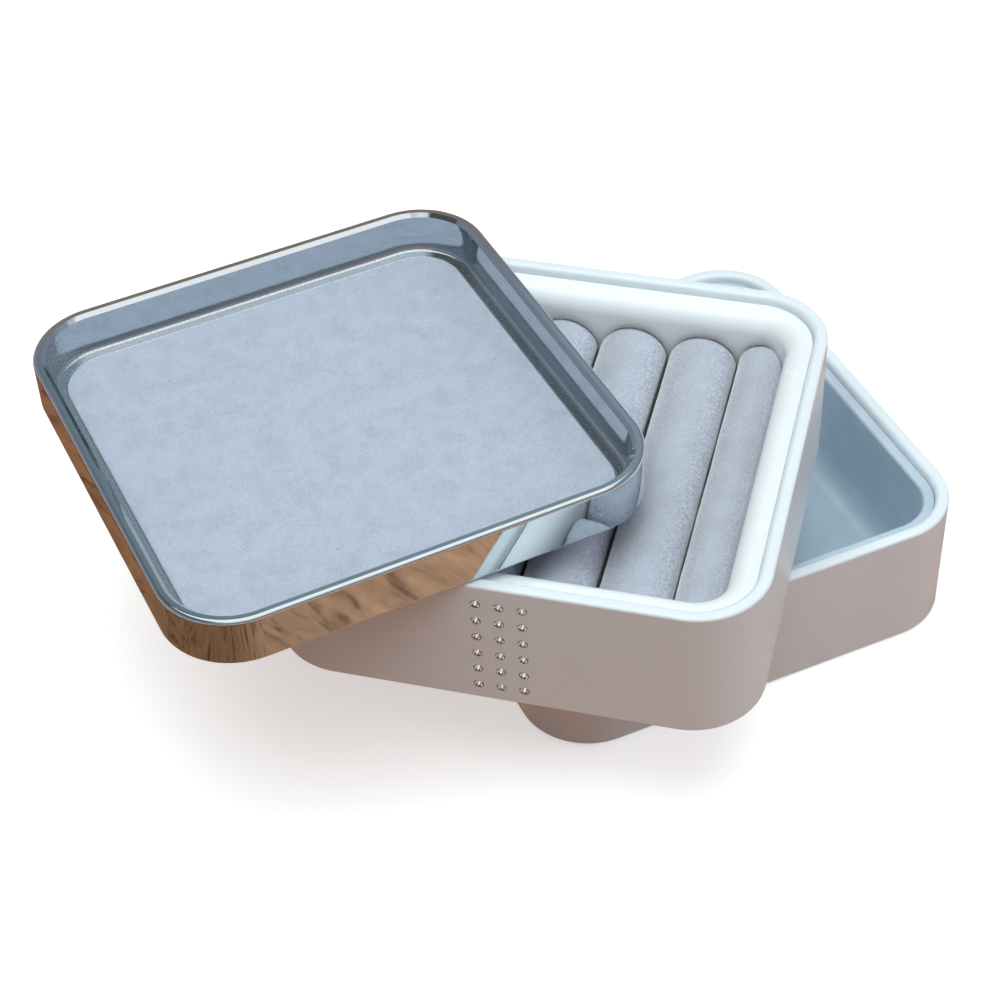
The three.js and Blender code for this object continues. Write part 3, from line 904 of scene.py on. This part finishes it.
class JEWELRYBOX_OT_ring_rolls(Operator):
    """Models the velvet ring rolls"""

    bl_idname = "jewelrybox.ring_rolls"
    bl_label = "Ring Rolls"

    def execute(self, context):
        s = sizes()
        back = tier_turn("middle_tier").inverted()
        for number in range(1, 7):
            node = f"ring_roll_{number}"
            corners = [back @ v.co for v in frame["nodes"][node].data.vertices]
            low = Vector(min(c[i] for c in corners) for i in range(3))
            high = Vector(max(c[i] for c in corners) for i in range(3))
            piece = self.core(f"velvet_roll_{number}", low, high)
            under, over = low.z - s.fit, high.z + s.fit
            space = add_slab("space", s.wall + s.fit + s.flange + s.fit, under, over)
            combine(piece, space, "INTERSECT")
            sleeve = corner_block("sleeve", s.block + s.fit * 2.5 + s.sleeve_wall, 0, under, over)
            cut(piece, sleeve)
            self.cover(piece, number)
            finish_piece(piece, "middle_tier", "velvet", node, "velvet", smooth=80, weighted=False)
        return {"FINISHED"}

    def core(self, name, low, high):
        """The firm core: a bar with a round back, a flat foot and eased ends."""
        deselect()
        radius = (high.x - low.x) / 2
        spring = high.z - radius
        bpy.ops.mesh.primitive_cylinder_add(
            vertices=64,
            radius=radius,
            depth=high.y - low.y,
            location=((low.x + high.x) / 2, (low.y + high.y) / 2, spring),
            rotation=(math.pi / 2, 0, 0),
        )
        piece = take_up(name)
        edit_all(piece)
        bpy.ops.mesh.bisect(plane_co=(0, 0, spring), plane_no=(0, 0, 1), use_fill=True, clear_inner=True)
        choose_faces(piece, lambda c, n: abs(c.z - spring) < SAME_END and abs(n.z) > 0.9)
        extrude(0, 0, low.z - spring)
        bpy.ops.mesh.select_all(action="SELECT")
        bpy.ops.mesh.normals_make_consistent(inside=False)
        bpy.ops.mesh.dissolve_limited(angle_limit=math.radians(1))
        leave_edit()
        for end in (low.y, high.y):
            def on_end(a, b):
                return all(abs(p.y - end) < SAME_END for p in (a, b)) and max(a.z, b.z) > low.z + SAME_CORNER
            choose_edges(piece, on_end)
            bevel(sizes().roll_end, 4)
        return piece

    def cover(self, piece, number):
        """Turns the firm core into cloth: an even skin, soft edges and a slightly uneven fill."""
        s = sizes()
        activate(piece)
        apply_modifier(piece, "skin", "REMESH", mode="VOXEL", voxel_size=0.00055)
        apply_modifier(piece, "ease", "SMOOTH", factor=0.5, iterations=4)
        for kind, size, strength in (("fill", 0.011, 0.00022), ("nap", 0.0013, s.roll_nap)):
            pattern = bpy.data.textures.new(f"{kind}_{number}", "CLOUDS")
            pattern.noise_scale = size
            pattern.noise_depth = 2
            press = {"texture": pattern, "texture_coords": "LOCAL", "strength": strength, "mid_level": 0.75}
            apply_modifier(piece, kind, "DISPLACE", **press)


class JEWELRYBOX_OT_crystals(Operator):
    """Cuts one foil-backed crystal and sets a copy in each pocket"""

    bl_idname = "jewelrybox.crystals"
    bl_label = "Crystals"

    def execute(self, context):
        s = sizes()
        deselect()
        rings = (
            (16, s.stone, -s.stone_fit / 4, 0.0),
            (16, s.stone, s.stone_fit / 4, 0.0),
            (8, (s.stone + s.stone_table) / 2, s.stone_crown * 0.62, 0.0),
            (8, s.stone_table, s.stone_crown, math.pi / 8),
        )
        bpy.ops.mesh.primitive_circle_add(vertices=16, radius=s.stone_fit, location=(0, 0, -s.stone_pavilion))
        stone = bpy.context.object
        bpy.ops.object.mode_set(mode="EDIT")
        for corners, radius, height, turn in rings:
            bpy.ops.mesh.primitive_circle_add(
                vertices=corners, radius=radius, location=(0, 0, height), rotation=(0, 0, turn)
            )
        bpy.ops.mesh.select_all(action="SELECT")
        bpy.ops.mesh.convex_hull()
        leave_edit()
        apply_place(stone)
        outward = tier_turn("middle_tier").to_3x3() @ Vector((0, -1, 0))
        for number, (name, place) in enumerate(stone_places(), start=1):
            copy = stone.copy()
            copy.data = stone.data.copy()
            bpy.context.collection.objects.link(copy)
            copy.name = f"faceted_stone_{number:02d}"
            turn = Matrix.Rotation(math.pi / 2, 4, "X") @ Matrix.Rotation(number * STONE_TURN, 4, "Z")
            copy.matrix_world = Matrix.Translation((place.x, -HALF_SIDE, place.z)) @ turn
            apply_place(copy)
            finish_piece(copy, "middle_tier", "crystal", name, "stone", "foil", smooth=0)
            for face in copy.data.polygons:
                face.material_index = 1 if face.normal.dot(outward) < -0.2 else 0
        bpy.data.objects.remove(stone, do_unlink=True)
        return {"FINISHED"}


class JEWELRYBOX_OT_tray(Operator):
    """Models the mirror-plated tray"""

    bl_idname = "jewelrybox.tray"
    bl_label = "Tray"

    def execute(self, context):
        s = sizes()
        low, high = TRAY_LOW.z + s.hub_length, TRAY_HIGH.z
        ledge = low + s.ledge_height
        seat = low + s.pad_seat
        piece = add_slab("plated_tray", 0, low, high)
        wall_foot = s.tray_wall + s.tray_draft
        sink_top(piece, high, s.tray_wall, ledge, draft=s.tray_draft)
        sink_top(piece, ledge, s.ledge, seat)
        round_loop(piece, 0, low, s.tray_foot, 5)
        round_loop(piece, 0, high, s.tray_rim_outer, 7)
        round_loop(piece, s.tray_wall, high, s.tray_rim_inner, 1)
        round_loop(piece, wall_foot, ledge, s.tray_cove, 5)
        round_loop(piece, wall_foot + s.ledge, ledge, s.ledge_round, 4)
        add_hub(piece, TRAY_LOW.z, seat - s.fit)
        cut(piece, add_post("hollow", s.hub_bore, TRAY_LOW.z + s.hub_floor, seat + s.fit))
        cut(piece, add_post("bore", s.bore, TRAY_LOW.z - s.fit, seat))
        finish_piece(piece, "lid", "plating", "lid_tray", "plating", "dusty")
        back = tier_turn("lid").inverted()
        for face in piece.data.polygons:
            centre = back @ face.center
            inside = inset_at(centre) > s.tray_wall and centre.z > low + s.tray_foot
            face.material_index = 1 if inside else 0
        return {"FINISHED"}


class JEWELRYBOX_OT_tray_pad(Operator):
    """Models the flat velvet pad in the tray"""

    bl_idname = "jewelrybox.tray_pad"
    bl_label = "Tray Pad"

    def execute(self, context):
        s = sizes()
        low, high = PAD_LOW.z, PAD_HIGH.z
        inset = s.tray_wall + s.tray_draft + s.ledge + s.pad_fit
        piece = add_slab("velvet_tray_pad", inset, low, high)
        round_loop(piece, inset, high, (high - low) * 0.66, 5)
        finish_piece(piece, "lid", "velvet", "lid_velvet_pad", "pad", weighted=False)
        return {"FINISHED"}


class JEWELRYBOX_OT_hardware(Operator):
    """Finishes the shaft, screw, washers and cards that stay as the frame gives them"""

    bl_idname = "jewelrybox.hardware"
    bl_label = "Hardware"

    def execute(self, context):
        finishes = {
            "steel": ("pivot_shaft", "retaining_screw", "wave_washer"),
            "nylon": ("lower_friction_washer", "upper_friction_washer"),
            "card": ("ring_pad_card", "lid_pad_card"),
        }
        for key, nodes in finishes.items():
            for node in nodes:
                dress(frame["nodes"][node], key)
        return {"FINISHED"}


# The stage: floor, light, reflection cards and camera. Places and sizes are in metres.

FLOOR_SIDE = 6
# The floor's own light: half strength up to one distance from the box, full strength from another.
GLOW_NEAR = {"From_Min": 0.6, "To_Min": 0.5}
GLOW_FAR = {"From_Max": 1.3, "To_Max": 1.0}
# The world's colour and strength, as it lights the box and as it is seen.
WORLD_LIGHT = ((1.0, 0.86, 0.84), 0.28)
WORLD_SEEN = ((1, 1, 1), 1.0)

SCREEN_RADIUS, SCREEN_HEIGHT, SCREEN_GLOW = 1.2, 2.4, 1.5
# Shares of the screen's height, with the strength of its cool tint there, or with its colour there.
SCREEN_AHEAD = ((0.42, 1.25), (0.50, 1.3), (0.60, 1.15), (0.85, 1.6), (1.0, 2.6))
SCREEN_BEHIND = (
    (0.05, (0.21, 0.15, 0.12)),
    (0.30, (0.30, 0.24, 0.22)),
    (0.36, (0.07, 0.11, 0.16)),
    (0.408, (0.07, 0.11, 0.16)),
    (0.425, (0.36, 0.42, 0.46)),
    (0.47, (0.42, 0.48, 0.52)),
    (0.56, (0.86, 0.84, 0.83)),
    (1.0, (0.90, 0.87, 0.85)),
)
BOARD_PLACE, BOARD_SCALE, BOARD_GLOW = (-0.125, -0.05, 0.001), (0.75, 0.80, 1), 1.0
CEILING_SIDE, CEILING_HEIGHT, CEILING_GLOW = 1.1, 1.0, 1.4

# Each lamp's name, place, size, power and tint. The sparkle lights the crystals alone.
LAMPS = (
    ("overhead", (-0.12, -0.08, 1.0), 0.9, 8.4, (0.84, 0.97, 0.98)),
    ("side", (0.9, -0.5, 0.6), 0.7, 4.2, (0.70, 0.85, 1.0)),
    ("front", (-0.30, -0.65, 1.15), 0.6, 1.35, (0.94, 0.93, 0.96)),
    ("sparkle", (-0.545, -0.778, 0.667), 0.3, 1.5, (1.0, 1.0, 1.0)),
)
LAMP_AIM = (0, 0, 0.05)

# The camera's place, its heading, tilt and roll in degrees, and its lens over its sensor's width.
CAMERA_PLACE = (-0.17855, -0.33476, 0.37394)
CAMERA_TURN = (22.66, 43.54, -2.41)
SENSOR_WIDTH, LENS_RATIO = 36, 2.30821


class JEWELRYBOX_OT_stage(Operator):
    """Sets up the pale floor, the soft lights, the world and the camera"""

    bl_idname = "jewelrybox.stage"
    bl_label = "Stage"

    def execute(self, context):
        self.floor()
        self.world()
        self.screen()
        self.board()
        self.ceiling()
        for row in LAMPS:
            self.lamp(*row)
        self.camera()
        context.scene.view_settings.view_transform = "Standard"
        return {"FINISHED"}

    def floor(self):
        """A floor that looks white, throws a warm light on the box and is clear from below."""
        deselect()
        bpy.ops.mesh.primitive_plane_add(size=FLOOR_SIDE)
        floor = bpy.context.object
        floor.name = "floor"
        n = Finish("pale_floor")
        bounce = n.put("ShaderNodeBsdfDiffuse", Color=colours().bounce)
        face = n.put("ShaderNodeBsdfDiffuse", Color=colours().floor)
        glow = n.put("ShaderNodeEmission", Color=(1, 1, 1), Strength=self.far_glow(n))
        above = n.put("ShaderNodeMixShader", n.seen(), bounce, n.put("ShaderNodeAddShader", face, glow))
        below = n.add("ShaderNodeNewGeometry").outputs["Backfacing"]
        n.replace_shader(n.put("ShaderNodeMixShader", below, above, n.put("ShaderNodeBsdfTransparent")))
        floor.data.materials.append(n.material)

    def far_glow(self, n):
        """The floor's own light: more of it far off, where the lamps no longer reach."""
        reach = n.add("ShaderNodeVectorMath", operation="LENGTH")
        n.link(n.place, reach.inputs[0])
        return n.put("ShaderNodeMapRange", reach.outputs["Value"], **GLOW_NEAR, **GLOW_FAR)

    def world(self):
        """A dim world that looks white where it is seen."""
        world = bpy.data.worlds.new("studio")
        bpy.context.scene.world = world
        n = Nodes(world)
        n.tree.nodes.clear()
        light, seen = (
            n.put("ShaderNodeBackground", Color=tint, Strength=strength)
            for tint, strength in (WORLD_LIGHT, WORLD_SEEN)
        )
        output = n.add("ShaderNodeOutputWorld")
        n.link(n.put("ShaderNodeMixShader", n.seen(), light, seen), output.inputs["Surface"])

    def screen(self):
        """The screen all round: cool ahead, darker to the west, dusky at its foot, paler behind and above."""
        deselect()
        bpy.ops.mesh.primitive_cylinder_add(
            vertices=96,
            radius=SCREEN_RADIUS,
            depth=SCREEN_HEIGHT,
            end_fill_type="NOTHING",
            location=(0, 0, SCREEN_HEIGHT / 2),
        )
        screen = take_up("reflection_screen")
        n = Finish(screen.name)
        up = n.along(UP, 0, SCREEN_HEIGHT)
        east = n.along(EAST, -SCREEN_RADIUS, SCREEN_RADIUS)
        cool = colours().card_cool
        haze, dusk = (shade(tint, 1 / SCREEN_GLOW) for tint in (colours().card_haze, colours().card_dusk))
        ahead = n.ramp(up, [(at, shade(cool, part / SCREEN_GLOW)) for at, part in SCREEN_AHEAD])
        west = n.ramp(east, [(0.25, (0.30, 0.27, 0.26)), (0.53, 0.70), (0.60, 1.0)])
        foot = n.ramp(east, [(0.46, dusk), (0.53, haze), (0.67, haze), (0.73, dusk)])
        low = n.ramp(up, [(0.408, 1.0), (0.42, 0.0)])
        paint = n.blend("MIX", low, n.times(ahead, west), foot)
        behind = n.ramp(n.along(NORTH, -SCREEN_RADIUS, SCREEN_RADIUS), [(0.10, 1.0), (0.25, 0.0)])
        paint = n.blend("MIX", behind, paint, n.ramp(up, SCREEN_BEHIND))
        self.hang_card(screen, n, paint, SCREEN_GLOW)

    def board(self):
        """The warm, grained board under and round the box, greyer to the left and in front."""
        deselect()
        bpy.ops.mesh.primitive_plane_add(size=1, location=BOARD_PLACE)
        bpy.context.object.scale = BOARD_SCALE
        board = take_up("reflection_board")
        n = Finish(board.name)
        warm = colours().card_warm
        grain = n.noise(0.006, detail=4, rough=0.6, stretch=(3, 1, 1), distortion=1.5, turn=1.3)
        stops = ((0.34, 0.35), (0.44, 0.9), (0.66, 1.25))
        bands = n.ramp(grain, [(at, shade(warm, part)) for at, part in stops])
        left = n.ramp(n.along(EAST, -0.5, 0.25), [(0.48, (0.45, 0.38, 0.33)), (0.58, 1.0)])
        near = n.ramp(n.along(NORTH, -0.30, -0.20), [(0.0, (0.40, 0.42, 0.46)), (1.0, 1.0)])
        self.hang_card(board, n, n.times(n.times(bands, left), near), BOARD_GLOW)

    def ceiling(self):
        """The pale ceiling, darker at its edges."""
        deselect()
        bpy.ops.mesh.primitive_plane_add(size=CEILING_SIDE, location=(0, 0, CEILING_HEIGHT))
        ceiling = take_up("reflection_ceiling")
        n = Finish(ceiling.name)
        edges = [(0.0, 0.6), (0.15, 1.0), (0.85, 1.0), (1.0, 0.6)]
        reach = CEILING_SIDE / 2
        wide, deep = (n.ramp(n.along(way, -reach, reach), edges) for way in (EAST, NORTH))
        self.hang_card(ceiling, n, n.times(wide, deep), CEILING_GLOW)

    def hang_card(self, card, n, paint, strength):
        """Makes a card glow with its paint, seen by glossy rays only."""
        n.replace_shader(n.put("ShaderNodeEmission", Color=paint, Strength=strength))
        card.data.materials.append(n.material)
        for ray in ("camera", "diffuse", "transmission", "volume_scatter", "shadow"):
            setattr(card, f"visible_{ray}", False)

    def lamp(self, name, place, size, power, tint):
        """A square lamp that points at the box and shows in no mirror."""
        deselect()
        bpy.ops.object.light_add(type="AREA", location=place)
        lamp = bpy.context.object
        lamp.name = name
        lamp.data.shape = "SQUARE"
        lamp.data.size = size
        lamp.data.energy = power
        lamp.data.color = tint
        lamp.rotation_euler = (Vector(LAMP_AIM) - Vector(place)).to_track_quat("-Z", "Y").to_euler()
        lamp.visible_glossy = False
        lamp.visible_diffuse = name != "sparkle"

    def camera(self):
        deselect()
        bpy.ops.object.camera_add(location=CAMERA_PLACE)
        camera = bpy.context.object
        camera.name = "photo_camera"
        heading, tilt, roll = (math.radians(turn) for turn in CAMERA_TURN)
        level = math.cos(tilt)
        ahead = Vector((math.sin(heading) * level, math.cos(heading) * level, -math.sin(tilt)))
        right = Vector((math.cos(heading), -math.sin(heading), 0))
        up = right.cross(ahead)
        across = right * math.cos(roll) + up * math.sin(roll)
        above = up * math.cos(roll) - right * math.sin(roll)
        camera.rotation_euler = Matrix((across, above, -ahead)).transposed().to_euler()
        camera.data.sensor_width = SENSOR_WIDTH
        camera.data.lens = SENSOR_WIDTH * LENS_RATIO
        camera.data.clip_start = 0.01
        camera.data.clip_end = 20
        bpy.context.scene.camera = camera


class JEWELRYBOX_PT_panel(Panel):
    """Lists the box's sizes, colours and pieces"""

    bl_idname = "JEWELRYBOX_PT_panel"
    bl_label = "Jewelry Box"
    bl_space_type = "VIEW_3D"
    bl_region_type = "UI"
    bl_category = "Jewelry Box"

    def draw(self, context):
        layout = self.layout
        for operator in OPERATORS:
            layout.operator(operator.bl_idname)
        for group in (context.scene.jewelry_box_sizes, context.scene.jewelry_box_colours):
            box = layout.box()
            for key in group.__annotations__:
                box.prop(group, key)


OPERATORS = (
    JEWELRYBOX_OT_bottom_shell,
    JEWELRYBOX_OT_bottom_liner,
    JEWELRYBOX_OT_base_pad,
    JEWELRYBOX_OT_middle_shell,
    JEWELRYBOX_OT_middle_liner,
    JEWELRYBOX_OT_ring_rolls,
    JEWELRYBOX_OT_crystals,
    JEWELRYBOX_OT_tray,
    JEWELRYBOX_OT_tray_pad,
    JEWELRYBOX_OT_hardware,
    JEWELRYBOX_OT_stage,
)
CLASSES = (JewelryBoxSizes, JewelryBoxColours, *OPERATORS, JEWELRYBOX_PT_panel)


def register():
    for each in CLASSES:
        bpy.utils.register_class(each)
    bpy.types.Scene.jewelry_box_sizes = PointerProperty(type=JewelryBoxSizes)
    bpy.types.Scene.jewelry_box_colours = PointerProperty(type=JewelryBoxColours)


def unregister():
    del bpy.types.Scene.jewelry_box_colours
    del bpy.types.Scene.jewelry_box_sizes
    for each in reversed(CLASSES):
        bpy.utils.unregister_class(each)


def main():
    register()
    bpy.ops.jewelrybox.bottom_shell()
    bpy.ops.jewelrybox.bottom_liner()
    bpy.ops.jewelrybox.base_pad()
    bpy.ops.jewelrybox.middle_shell()
    bpy.ops.jewelrybox.middle_liner()
    bpy.ops.jewelrybox.ring_rolls()
    bpy.ops.jewelrybox.crystals()
    bpy.ops.jewelrybox.tray()
    bpy.ops.jewelrybox.tray_pad()
    bpy.ops.jewelrybox.hardware()
    bpy.ops.jewelrybox.stage()


if __name__ == "__main__":
    main()
